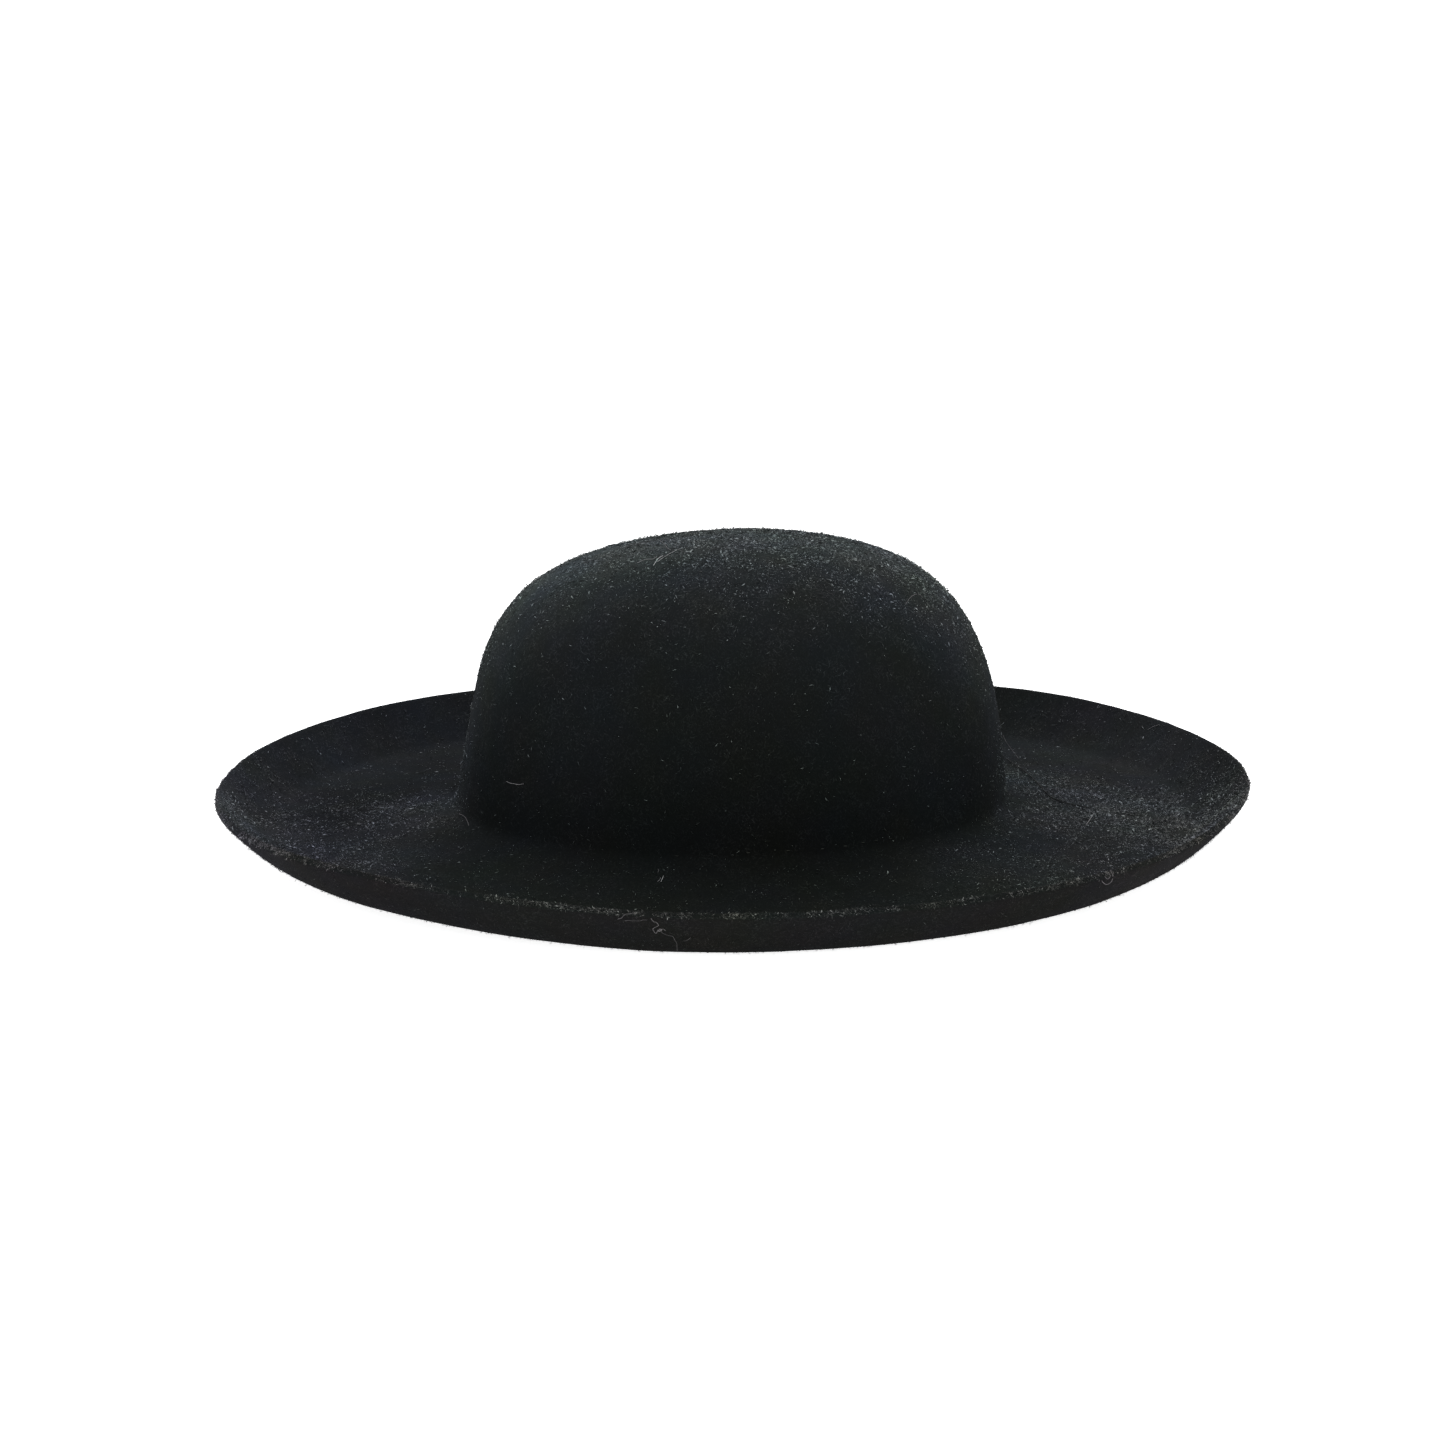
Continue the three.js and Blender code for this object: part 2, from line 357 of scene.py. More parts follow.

# %% [markdown]
# ### Where the felt is greyer
#
# Dust settles on the crown's top, hands roughen the brim, and elsewhere the nap lies flat and
# looks blacker. Some spots are painted light as well: painted sheen on the crown's top and on
# its back and front, where fibres glow when seen at a slant, and painted shade low on the
# crown's right side. A painted mask could say where, but it would need an image. A short table of
# soft spots does it here. "grey" is how much greyer the felt is there, and "loose" is how much
# more loose nap and dust it carries, since some felt is grey and yet smooth. The same table
# serves the material, as nodes, and later the loose fibres, as numbers, so both agree.

# %% Group: greyness
ON_AVERAGE = 0.28  # both grey and loose, away from every spot
SPOTS = (  # places and radii in mm
    # The crown's top spots hold dust and also painted sheen, the glow of its rim seen at a slant.
    {"where": "crown top", "place": (8, 0, 116), "radius": 95, "grey": 0.75, "loose": 0.75},
    {"where": "crown top, back", "place": (-57, -4, 102), "radius": 66, "grey": 0.96, "loose": 0.32},
    {"where": "crown top, front", "place": (62, -5, 102), "radius": 62, "grey": 0.63, "loose": 0.62},
    # Greyer with no more loose nap: painted sheen along the far rim of the crown's top.
    {"where": "crown top, left", "place": (0, 22, 112), "radius": 60, "grey": 0.45, "loose": 0.0},
    # The crown's back and front: painted sheen, the light fuzz of its two ends seen at a slant.
    {"where": "crown back", "place": (-94, 2, 66), "radius": 60, "grey": 0.50, "loose": 0.20},
    {"where": "crown front", "place": (94, -8, 70), "radius": 54, "grey": 0.45, "loose": 0.18},
    # Darker and cleaner low on the crown's right side: painted shade above the brim, and fewer loose fibres.
    {"where": "crown foot, right side", "place": (5, -88, 32), "radius": 75, "grey": -0.20, "loose": -0.20},
    {"where": "brim front", "place": (152, -12, 8), "radius": 77, "grey": 0.54, "loose": 0.60},
    {"where": "brim beyond the hair", "place": (112, 40, 9), "radius": 46, "grey": 0.42, "loose": 0.28},
    {"where": "brim front, left edge", "place": (162, 88, 16), "radius": 52, "grey": 0.40, "loose": 0.06},
    {"where": "front tip, left", "place": (174, 55, 14), "radius": 42, "grey": 0.42, "loose": 0.06},
    {"where": "brim, crown's front", "place": (101, -22, 18), "radius": 34, "grey": 0.30, "loose": 0.14},
    {"where": "brim, crown's back", "place": (-110, -8, 12), "radius": 42, "grey": 0.50, "loose": 0.34},
    {"where": "brim back", "place": (-146, -62, 8), "radius": 60, "grey": 0.34, "loose": 0.38},
    {"where": "brim back, middle", "place": (-148, 8, 7), "radius": 62, "grey": -0.14, "loose": 0.22},
    {"where": "back tip", "place": (-187, -24, 17), "radius": 48, "grey": 1.12, "loose": 0.34},
    {"where": "back tip, left", "place": (-186, 24, 16), "radius": 44, "grey": 0.66, "loose": 0.15},
    {"where": "front tip", "place": (176, -50, 15), "radius": 42, "grey": 0.50, "loose": 0.45},
    {"where": "brim right front", "place": (136, -92, 8), "radius": 52, "grey": 0.26, "loose": 0.26},
    {"where": "brim right", "place": (96, -76, 8), "radius": 52, "grey": 0.22, "loose": 0.20},
    {"where": "brim left back", "place": (-170, 82, 18), "radius": 62, "grey": 0.47, "loose": 0.06},
    {"where": "brim left back, edge", "place": (-124, 134, 16), "radius": 60, "grey": 0.34, "loose": 0.02},
    {"where": "brim left front", "place": (125, 118, 10), "radius": 80, "grey": 0.32, "loose": 0.06},
)


def make_greyness():
    """How grey and how loose the felt is, from 0 to 1, with painted sheen and painted shade in Grey. Grey
    passes 1 where the felt is brightest, as on the crown's top and at the back tip.
    """
    tree, given, result = new_group(
        "greyness", {"Place": (0.0, 0.0, 0.0)}, {"Grey": "NodeSocketFloat", "Loose": "NodeSocketFloat"},
    )
    totals = {"grey": ON_AVERAGE, "loose": ON_AVERAGE}
    for spot in SPOTS:
        centre = tuple(v * MM for v in spot["place"])
        away = vector_node(tree, "LENGTH", vector_node(tree, "SUBTRACT", given.outputs["Place"], centre))
        near = smooth_range(tree, away, 0.0, spot["radius"] * MM, 1.0, 0.0)
        for kind in totals:
            totals[kind] = math_node(tree, "MULTIPLY_ADD", near, spot[kind], totals[kind])
    feed(tree, result.inputs["Grey"], math_node(tree, "MAXIMUM", totals["grey"], 0.0))
    feed(tree, result.inputs["Loose"], math_node(tree, "ADD", totals["loose"], 0.0, clamp=True))
    return tree


greyness = make_greyness()
print("group:", greyness.name, "with spots at the", [spot["where"] for spot in SPOTS])

# %% [markdown]
# ### The felt's own finish
#
# The body is almost black and dull. Felt has no mirror-like reflection, so that is off, and a
# little of the Principled shader's sheen gives the soft glow that fibre ends have at a slant.
# The strokes brighten the colour a little and raise the surface a little, so they also catch
# the light as real relief. They are fainter where the nap lies flat.
#
# Over the strokes lies the greyness, which is dust and also painted sheen and painted shade. It
# brightens the felt evenly, and once more where it passes 1, as on the crown's top, where dust
# and painted sheen come together. Faces that look down get a darker, redder black: the darkening
# is painted shade, against the light that the glowing floor throws up onto them.

# %% Helpers: noise, and a group in a material
def noise_node(tree, place, size, detail=2.0, rough=0.5):
    """Noise whose lumps are about this size in metres."""
    made = tree.nodes.new("ShaderNodeTexNoise")
    feed(tree, made.inputs["Vector"], place)
    made.inputs["Scale"].default_value = 1 / size
    made.inputs["Detail"].default_value = detail
    made.inputs["Roughness"].default_value = rough
    return made.outputs["Fac"]


def use_group(tree, group, **values):
    """Places a group in a material with its own values."""
    made = tree.nodes.new("ShaderNodeGroup")
    made.node_tree = group
    for name, value in values.items():
        feed(tree, made.inputs[name], value)
    return made


def new_material(name):
    """A material and its shader."""
    material = bpy.data.materials.new(name)
    material.use_nodes = True
    return material, material.node_tree, material.node_tree.nodes["Principled BSDF"]


def place_in(tree):
    """Each point's place in the frame, in metres."""
    return tree.nodes.new("ShaderNodeTexCoord").outputs["Object"]


print("helpers:", [helper.__name__ for helper in (noise_node, use_group, new_material, place_in)])

# %% The felt's strokes
STROKE_LAYERS = (  # cell in mm, length and width as shares of it, share of cells, strength
    {"cell": 0.8, "length": 0.9, "width": 0.20, "share": 0.80, "strength": 0.55},
    {"cell": 1.4, "length": 1.0, "width": 0.11, "share": 0.65, "strength": 0.85},
    {"cell": 2.6, "length": 0.9, "width": 0.055, "share": 0.45, "strength": 1.0},
)


def felt_strokes(tree, place):
    """All layers of lying fibres over each other, from 0 to 1."""
    strokes = None
    for layer in STROKE_LAYERS:
        sizes = {name.capitalize(): layer[name] for name in ("length", "width", "share")}
        group = use_group(tree, lying_fibres, Place=place, Cell=layer["cell"] * MM, **sizes)
        drawn = math_node(tree, "MULTIPLY", group.outputs["Strokes"], layer["strength"])
        strokes = drawn if strokes is None else math_node(tree, "MAXIMUM", strokes, drawn)
    return strokes


print("layers of strokes:", len(STROKE_LAYERS))

# %% The felt's colour
FELT_BLACK = (0.0066, 0.0076, 0.0078, 1.0)
FELT_GREY = (0.036, 0.040, 0.041, 1.0)
# Painted shade: faces that look down are darker and redder, against the light the glowing floor throws up.
UNDERSIDE_PAINTED_SHADE = (0.84, 0.74, 0.79, 1.0)
# Ranges: a value from this to that gives a result from this to that
STROKES_BY_CLOUD = (0.35, 0.7, 0.3, 1.0)
STROKES_BY_LOOSENESS = (0.2, 0.55, 0.6, 1.0)
BRIGHTNESS_BY_GREY = (0.0, 1.0, 1.14, 2.7)
# Past 1, Grey stands for dust and for painted sheen on the crown's top.
BRIGHTNESS_BY_DUST_AND_SHEEN = (0.9, 1.6, 1.0, 2.3)
UNDERSIDE_SHADE_BY_UPWARDNESS = (0.1, -0.4, 0.0, 1.0)


def felt_colour(tree, place, strokes, cloud):
    """Black felt with its strokes, its greyer places and painted sheen, its tint, and its underside darkened
    as painted shade.
    """
    spots = use_group(tree, greyness, Place=place)
    thick_or_thin = smooth_range(tree, cloud, *STROKES_BY_CLOUD)
    clear = smooth_range(tree, spots.outputs["Loose"], *STROKES_BY_LOOSENESS)
    shade = math_node(tree, "MULTIPLY", math_node(tree, "MULTIPLY", strokes, thick_or_thin), clear)
    matted = mixed_colour(tree, shade, FELT_BLACK, FELT_GREY)
    paler = smooth_range(tree, spots.outputs["Grey"], *BRIGHTNESS_BY_GREY)
    dust_and_sheen = smooth_range(tree, spots.outputs["Grey"], *BRIGHTNESS_BY_DUST_AND_SHEEN)
    dust_and_painted_light = vector_node(tree, "SCALE", matted, scale=math_node(tree, "MULTIPLY", paler, dust_and_sheen))
    tinted = use_group(tree, dye_tint, Place=place, Tone=dust_and_painted_light, Strength=1.0)
    # Painted shade on the faces that look down.
    facing = tree.nodes.new("ShaderNodeNewGeometry").outputs["Normal"]
    up = vector_node(tree, "DOT_PRODUCT", facing, (0.0, 0.0, 1.0))
    under = smooth_range(tree, up, *UNDERSIDE_SHADE_BY_UPWARDNESS)
    return mixed_colour(tree, under, tinted.outputs["Color"], UNDERSIDE_PAINTED_SHADE, "MULTIPLY")


print("greyness brightens the felt from", BRIGHTNESS_BY_GREY[2], "to", BRIGHTNESS_BY_GREY[3], "times")

# %% Material: wool felt
CLOUD_SIZE = 9 * MM
ROUGHNESS_BY_CLOUD = (0.2, 0.8, 0.88, 1.0)
GRAIN_SIZE = 0.7 * MM
GRAIN_SHARE = 0.8  # the grain's height, as a share of a stroke's
RELIEF = 0.12 * MM


def make_felt_finish():
    """Dense black wool felt."""
    material, tree, shader = new_material("black_wool_felt")
    place = place_in(tree)
    strokes = felt_strokes(tree, place)
    cloud = noise_node(tree, place, CLOUD_SIZE, detail=4.0, rough=0.6)
    feed(tree, shader.inputs["Base Color"], felt_colour(tree, place, strokes, cloud))
    feed(tree, shader.inputs["Roughness"], smooth_range(tree, cloud, *ROUGHNESS_BY_CLOUD))
    shader.inputs["Specular IOR Level"].default_value = 0.0
    shader.inputs["Sheen Weight"].default_value = 0.018
    shader.inputs["Sheen Roughness"].default_value = 0.35
    shader.inputs["Sheen Tint"].default_value = (0.90, 0.96, 1.0, 1.0)

    grain = noise_node(tree, place, GRAIN_SIZE, detail=3.0, rough=0.7)
    height = math_node(tree, "ADD", strokes, math_node(tree, "MULTIPLY", grain, GRAIN_SHARE))
    bump = tree.nodes.new("ShaderNodeBump")
    bump.inputs["Strength"].default_value = 0.7
    bump.inputs["Distance"].default_value = RELIEF
    feed(tree, bump.inputs["Height"], height)
    feed(tree, shader.inputs["Normal"], bump.outputs["Normal"])
    return material


felt_finish = make_felt_finish()
print("material:", felt_finish.name, "with", len(felt_finish.node_tree.nodes), "nodes")

# %% [markdown]
# ### Loose fibres
#
# The fibres that stand proud are greyer than the mat, because light reaches them from all
# sides. Each carries its own tone, from black to pale, as a number on the mesh named "tone",
# and grows paler to its tip. One recipe serves the nap, the fluff, the lint, the hair and the
# thread, each with its own three colours.

# %% A fibre's finish
MIDDLE_TONE = 0.6  # the tone that has the middle colour
FIBRE_PATCH = 3 * MM
FIBRE_ROUGHNESS = (0.3, 0.7, 0.55, 0.8)  # noise from and to, roughness from and to


def colour_steps(tree, value, steps):
    """A Color Ramp through (place, colour) steps."""
    made = tree.nodes.new("ShaderNodeValToRGB")
    ramp = made.color_ramp
    while len(ramp.elements) < len(steps):
        ramp.elements.new(0.5)
    for element, (place, colour) in zip(ramp.elements, steps):
        element.position = place
        element.color = (*colour, 1.0)
    feed(tree, made.inputs["Fac"], value)
    return made.outputs["Color"]


def make_fibre_finish(name, dark, middle, pale, sheen, dyed=1.0):
    """A fibre's colour by the number "tone" on the mesh, from 0, dark, to 1, pale."""
    material, tree, shader = new_material(name)
    place = place_in(tree)
    tone = tree.nodes.new("ShaderNodeAttribute")
    tone.attribute_name = "tone"
    steps = ((0.0, dark), (MIDDLE_TONE, middle), (1.0, pale))
    colour = colour_steps(tree, tone.outputs["Fac"], steps)
    tinted = use_group(tree, dye_tint, Place=place, Tone=colour, Strength=dyed)
    feed(tree, shader.inputs["Base Color"], tinted.outputs["Color"])
    patch = noise_node(tree, place, FIBRE_PATCH)
    feed(tree, shader.inputs["Roughness"], smooth_range(tree, patch, *FIBRE_ROUGHNESS))
    shader.inputs["Specular IOR Level"].default_value = 0.1
    shader.inputs["Sheen Weight"].default_value = sheen
    shader.inputs["Sheen Roughness"].default_value = 0.4
    return material


print("helper:", make_fibre_finish.__name__, "with the middle colour at tone", MIDDLE_TONE)

# %% Materials: nap, fluff, lint, hair and thread
nap_finish = make_fibre_finish(
    "felt_nap", sheen=0.03,
    dark=(0.006, 0.007, 0.007), middle=(0.062, 0.072, 0.073), pale=(0.48, 0.54, 0.55),
)
fluff_finish = make_fibre_finish(
    "edge_fluff", sheen=0.03,
    dark=(0.006, 0.007, 0.007), middle=(0.070, 0.073, 0.075), pale=(0.39, 0.40, 0.41),
)
lint_finish = make_fibre_finish(
    "pale_lint", sheen=0.0, dyed=0.3,
    dark=(0.060, 0.058, 0.062), middle=(0.22, 0.21, 0.22), pale=(0.55, 0.55, 0.56),
)
hair_finish = make_fibre_finish(
    "dark_hair", sheen=0.0,
    dark=(0.001, 0.002, 0.002), middle=(0.004, 0.005, 0.006), pale=(0.02, 0.02, 0.02),
)
thread_finish = make_fibre_finish(
    "black_thread", sheen=0.0,
    dark=(0.012, 0.012, 0.012), middle=(0.035, 0.038, 0.035), pale=(0.080, 0.085, 0.080),
)
print("materials:", [m.name for m in (nap_finish, fluff_finish, lint_finish, hair_finish, thread_finish)])

# %% [markdown]
# ## The felt body
#
# The body is the hat itself: one wall of felt, 2.6 mm thick. The CAD solid has its true shape in
# flat facets, so the body starts from that solid, joins its triangles back to quads, and
# subdivides them, which keeps the form and rounds the facets away. Cloth simulation would be
# the tool for a limp hat, but blocked felt is stiff and keeps the block's shape.
#
# Hand-blocked felt is never quite even, so each point is then moved by a fraction of a
# millimetre of smooth noise. Where the hat presses on the floor the felt stays flat.

# %% The solid with its facets rounded away
SUBDIVISIONS = 2
SAME_PLACE = 0.001 * MM
SHARPEST_JOIN = math.radians(60)  # triangles that meet more sharply aren't joined
MOST_SKEWED = math.radians(70)  # how far a quad's corners may be from square


def rounded_copy(solid):
    """The solid's mesh with its facets rounded away."""
    mesh = solid.data.copy()
    shape = bmesh.new()
    shape.from_mesh(mesh)
    bmesh.ops.remove_doubles(shape, verts=shape.verts, dist=SAME_PLACE)
    bmesh.ops.join_triangles(
        shape, faces=shape.faces, angle_face_threshold=SHARPEST_JOIN, angle_shape_threshold=MOST_SKEWED,
    )
    quads = sum(len(face.verts) == 4 for face in shape.faces)
    print("faces:", len(shape.faces), "of which quads:", quads)
    shape.to_mesh(mesh)
    shape.free()
    rough = bpy.data.objects.new("rough_felt", mesh)
    bpy.context.scene.collection.objects.link(rough)
    rounding = rough.modifiers.new("rounding", "SUBSURF")
    rounding.levels = SUBDIVISIONS
    rounding.render_levels = SUBDIVISIONS
    seen = rough.evaluated_get(bpy.context.evaluated_depsgraph_get())
    rounded = bpy.data.meshes.new_from_object(seen)
    bpy.data.objects.remove(rough)
    return rounded


felt_mesh = rounded_copy(cad_felt)
print("rounded felt:", len(felt_mesh.vertices), "points")

# %% The felt's lumps
LUMPS = ({"size": 38 * MM, "height": 0.28 * MM}, {"size": 11 * MM, "height": 0.10 * MM})


def add_lumps(mesh):
    """Moves each point by smooth noise along its normal, never below the floor."""
    count = len(mesh.vertices)
    places = np.empty(count * 3)
    normals = np.empty(count * 3)
    mesh.vertices.foreach_get("co", places)
    mesh.vertices.foreach_get("normal", normals)
    places, normals = places.reshape(-1, 3), normals.reshape(-1, 3)
    moves = np.zeros(count)
    for lump in LUMPS:
        wave = [noise.noise(Vector(place) / lump["size"]) for place in places]
        moves += lump["height"] * np.array(wave)
    places += normals * moves[:, None]
    places[:, 2] = np.maximum(places[:, 2], 0.0)
    mesh.vertices.foreach_set("co", places.ravel())
    mesh.update()
    return moves


moves = add_lumps(felt_mesh)
print("lumps of up to", round(float(np.abs(moves).max() / MM), 2), "mm")


# %% Piece: felt body
def make_felt_body(mesh):
    """The hat's one piece of felt."""
    mesh.name = "felt_body"
    mesh.materials.clear()
    mesh.materials.append(felt_finish)
    mesh.shade_smooth()
    body = bpy.data.objects.new("felt_body", mesh)
    bpy.context.scene.collection.objects.link(body)
    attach(body, "root")
    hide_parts("felt_hat")
    return body


felt_body = make_felt_body(felt_mesh)
print(felt_body.name, "with", len(felt_mesh.polygons), "faces")

# %% [markdown]
# ## Where the fibres grow
#
# Fibres are scattered over the felt's own triangles, so they sit on it seen from any side. The
# triangles are sorted into zones by where they lie and which way they face: the outside of the
# crown, the top of the brim, the cut edge, and the underside with the inside of the crown.

# %% The felt's triangles
SMALLEST_LENGTH = 1e-12  # so that nothing is divided by zero


def felt_triangles(body):
    """Corner places and normals of each triangle of the felt."""
    mesh = body.data
    mesh.calc_loop_triangles()
    corners = np.empty(len(mesh.loop_triangles) * 3, int)
    mesh.loop_triangles.foreach_get("vertices", corners)
    places = np.empty(len(mesh.vertices) * 3)
    normals = np.empty(len(mesh.vertices) * 3)
    mesh.vertices.foreach_get("co", places)
    mesh.vertices.foreach_get("normal", normals)
    corners = corners.reshape(-1, 3)
    return places.reshape(-1, 3)[corners], normals.reshape(-1, 3)[corners]


def lengths(vectors):
    """The length of each row."""
    return np.linalg.norm(vectors, axis=1)


def unit(vectors):
    """Each row at length one."""
    return vectors / np.maximum(lengths(vectors), SMALLEST_LENGTH)[:, None]


triangle_places, triangle_normals = felt_triangles(felt_body)
middles = triangle_places.mean(axis=1)
facings = unit(triangle_normals.mean(axis=1))
edges_a = triangle_places[:, 1] - triangle_places[:, 0]
edges_b = triangle_places[:, 2] - triangle_places[:, 0]
areas = lengths(np.cross(edges_a, edges_b)) / 2
print("triangles:", len(areas), "with both faces of the felt", round(float(areas.sum()), 3), "m2 in all")

# %% The zones
CROWN_HALVES = (100.75 * MM, 86 * MM)  # half its length and width at its foot, to the felt's middle
BRIM_HALVES = (190.7 * MM, 176 * MM)
CROWN_BAND = 1.07  # the crown lies within this share of its halves
CROWN_FOOT = 11 * MM  # and above this height
EDGE_BAND = 0.985  # the cut edge lies beyond this share of the brim's halves
EDGE_FACES_UP = 0.2  # the least that the cut edge faces up
EDGE_FACES_OUT = -0.6  # and outwards
LIP_FACES_OUT = 0.25
CURL_BAND = 0.90
MIDDLE_HEIGHT = 30 * MM  # the outside of the crown faces away from a point this high inside
crown_share = np.hypot(middles[:, 0] / CROWN_HALVES[0], middles[:, 1] / CROWN_HALVES[1])
brim_share = np.hypot(middles[:, 0] / BRIM_HALVES[0], middles[:, 1] / BRIM_HALVES[1])
outwards = unit(middles * (1, 1, 0))
turned_out = (facings * outwards).sum(axis=1)
faces_out = (facings * unit(middles - (0, 0, MIDDLE_HEIGHT))).sum(axis=1) > 0
on_crown = (crown_share < CROWN_BAND) & (middles[:, 2] > CROWN_FOOT)

zones = {
    "crown": on_crown & faces_out,
    "cut_edge": (brim_share > EDGE_BAND) & (facings[:, 2] > EDGE_FACES_UP) & (turned_out > EDGE_FACES_OUT),
    "inside": on_crown & ~faces_out,
}
zones["brim"] = ~on_crown & (facings[:, 2] > 0) & ~zones["cut_edge"]
zones["underside"] = ~on_crown & (facings[:, 2] <= 0) & ~zones["cut_edge"]
zones["curl"] = zones["underside"] & (brim_share > CURL_BAND)
zones["edge_lip"] = zones["cut_edge"] & (turned_out > LIP_FACES_OUT)
for name, zone in zones.items():
    print("zone", name, "triangles", int(zone.sum()), "area in cm2", round(float(areas[zone].sum() * 1e4), 1))

# %% [markdown]
# ## One mesh of many fibres
#
# A hair system would draw such fibres, but a part must be plain mesh. Each fibre is the smallest
# closed form that still bends: a sliver of four triangles, with a root, a tip and two corners
# at its middle, which is pushed aside. Tens of thousands of them are laid out at once in arrays
# and become one mesh, in a moment.
#
# Each fibre also gets a cell of its own in a UV map, so its tone can be baked to an image.

# %% One fibre and its cell of the map
FIBRE_FACES = np.array([(0, 1, 2), (0, 3, 1), (0, 2, 3), (1, 3, 2)])  # root 0, middle 1 and 2, tip 3
FIBRE_CORNERS = 4
FLATNESS = 0.45  # a sliver's depth as a share of its width
CORNERS_IN_CELL = ((0.4, 0.0), (0.0, 0.5), (0.8, 0.5), (0.4, 1.0))
CELL_MARGIN = 0.12
BAKE_MAP = "OFBake"


def fibre_cells(count):
    """For each fibre's face corners, a place in the fibre's own cell of the UV map."""
    columns = math.ceil(math.sqrt(count))
    cells = np.stack([np.arange(count) % columns, np.arange(count) // columns], axis=1)
    inside = []
    for number, face in enumerate(FIBRE_FACES):
        for corner in face:
            across_cell, height = CORNERS_IN_CELL[corner]
            inside.append(((number + across_cell) / len(FIBRE_FACES), height))
    inside = CELL_MARGIN + np.array(inside) * (1 - 2 * CELL_MARGIN)
    return ((cells[:, None, :] + inside[None]) / columns).reshape(-1, 2)


print("each fibre has", FIBRE_CORNERS, "points and", len(FIBRE_FACES), "triangles")

# %% Many fibres as one mesh
NEARLY_UP = 0.9
TURN_PER_FIBRE = 2.4  # radians, so that the flat sides of the slivers face every way
ROOT_TONE = 0.7  # as a share of the fibre's tone
TIP_TONE = 1.3


def square_to(ways):
    """Two directions square to each way and to each other."""
    helper = np.where(np.abs(ways[:, 2:]) < NEARLY_UP, [[0.0, 0.0, 1.0]], [[1.0, 0.0, 0.0]])
    first = unit(np.cross(ways, helper))
    return first, np.cross(ways, first)


def fibre_mesh(name, roots, ways, bends, widths, tones):
    """One mesh of bent slivers. A way reaches from root to tip, and a bend moves the middle."""
    count = len(roots)
    side, other = square_to(unit(ways))
    turned = np.arange(count)[:, None] * TURN_PER_FIBRE
    cosine, sine = np.cos(turned), np.sin(turned)
    side, other = side * cosine + other * sine, other * cosine - side * sine
    bent_back = (bends * other).sum(axis=1, keepdims=True) < 0
    side, other = np.where(bent_back, -side, side), np.where(bent_back, -other, other)
    centres = roots + ways / 2 + bends + other * widths[:, None] * FLATNESS
    half = side * widths[:, None] / 2
    points = np.stack([roots, centres - half, centres + half, roots + ways], axis=1)
    points[:, :, 2] = np.maximum(points[:, :, 2], 0.0)
    corners = (np.arange(count)[:, None, None] * FIBRE_CORNERS + FIBRE_FACES[None]).ravel()

    mesh = bpy.data.meshes.new(name)
    mesh.vertices.add(count * FIBRE_CORNERS)
    mesh.vertices.foreach_set("co", points.ravel())
    mesh.loops.add(len(corners))
    mesh.loops.foreach_set("vertex_index", corners)
    mesh.polygons.add(count * len(FIBRE_FACES))
    mesh.polygons.foreach_set("loop_start", np.arange(count * len(FIBRE_FACES)) * 3)
    mesh.update(calc_edges=True)
    shades = np.stack([tones * ROOT_TONE, tones, tones, np.minimum(tones * TIP_TONE, 1.0)], axis=1)
    mesh.attributes.new("tone", "FLOAT", "POINT").data.foreach_set("value", shades.ravel())
    mesh.uv_layers.new(name=BAKE_MAP).data.foreach_set("uv", fibre_cells(count).ravel())
    mesh.shade_smooth()
    return mesh


print("helper:", fibre_mesh.__name__, "with tips", TIP_TONE, "times as pale as a fibre's middle")

# %% [markdown]
# ## Growing the nap
#
# Nap grows thicker in some patches than in others and lies mostly flat. Around the crown and
# the brim it has been brushed one way, so each fibre starts along that way, turns aside by
# chance, and lifts off the felt by a chance angle.
#
# A table names seven kinds. Matted fibres lie in the surface, and stray ones stand off it.
# Specks are dust and broken ends. Dark fibres roughen the outline and, as painted shade, darken the
# underside.
# Bristles are short and stiff, and roughen the brim's curl and its edge. Cut ends and pale
# fluff belong to the cut edge. Three powers say where a kind gathers: "clumped" in the patches
# of thick nap, "tufted" in small tufts, and "dusty" where the table of spots says loose. A larger
# "rare" makes pale fibres rarer, and "brushed" is how strongly a kind follows the brush.

# %% Kinds of fibre
FIBRE_KINDS = {  # lengths and widths in mm, lift in degrees, tone from 0, black, to 1, pale
    "matted": {
        "length": (0.7, 2.4), "width": (0.06, 0.12), "lift": 6, "brushed": 0.7,
        "tone": (0.10, 0.95), "rare": 1.8, "clumped": 0.7, "tufted": 0.5, "dusty": 1.8},
    "stray": {
        "length": (0.7, 2.4), "width": (0.05, 0.09), "lift": 25, "brushed": 0.4,
        "tone": (0.15, 1.05), "rare": 1.9, "clumped": 0.6, "tufted": 0.5, "dusty": 1.6},
    "speck": {
        "length": (0.25, 0.8), "width": (0.10, 0.20), "lift": 10, "brushed": 0.0,
        "tone": (0.35, 1.15), "rare": 1.7, "clumped": 1.0, "tufted": 1.0, "dusty": 2.0},
    "dark": {
        "length": (0.5, 1.6), "width": (0.06, 0.14), "lift": 30, "brushed": 0.3,
        "tone": (0.0, 0.45), "rare": 1.5, "clumped": 0.5, "tufted": 0.0, "dusty": 0.0},
    "bristle": {
        "length": (0.25, 0.6), "width": (0.08, 0.14), "lift": 55, "brushed": 0.0,
        "tone": (0.0, 0.20), "rare": 1.5, "clumped": 0.4, "tufted": 0.5, "dusty": 0.0},
    "cut end": {
        "length": (0.3, 0.8), "width": (0.07, 0.13), "lift": 25, "brushed": 0.0,
        "tone": (0.05, 0.70), "rare": 1.8, "clumped": 0.5, "tufted": 1.0, "dusty": 0.0},
    "fluff": {
        "length": (0.4, 1.6), "width": (0.05, 0.09), "lift": 20, "brushed": 0.8,
        "tone": (0.40, 1.05), "rare": 1.8, "clumped": 0.9, "tufted": 1.6, "dusty": 0.0},
}
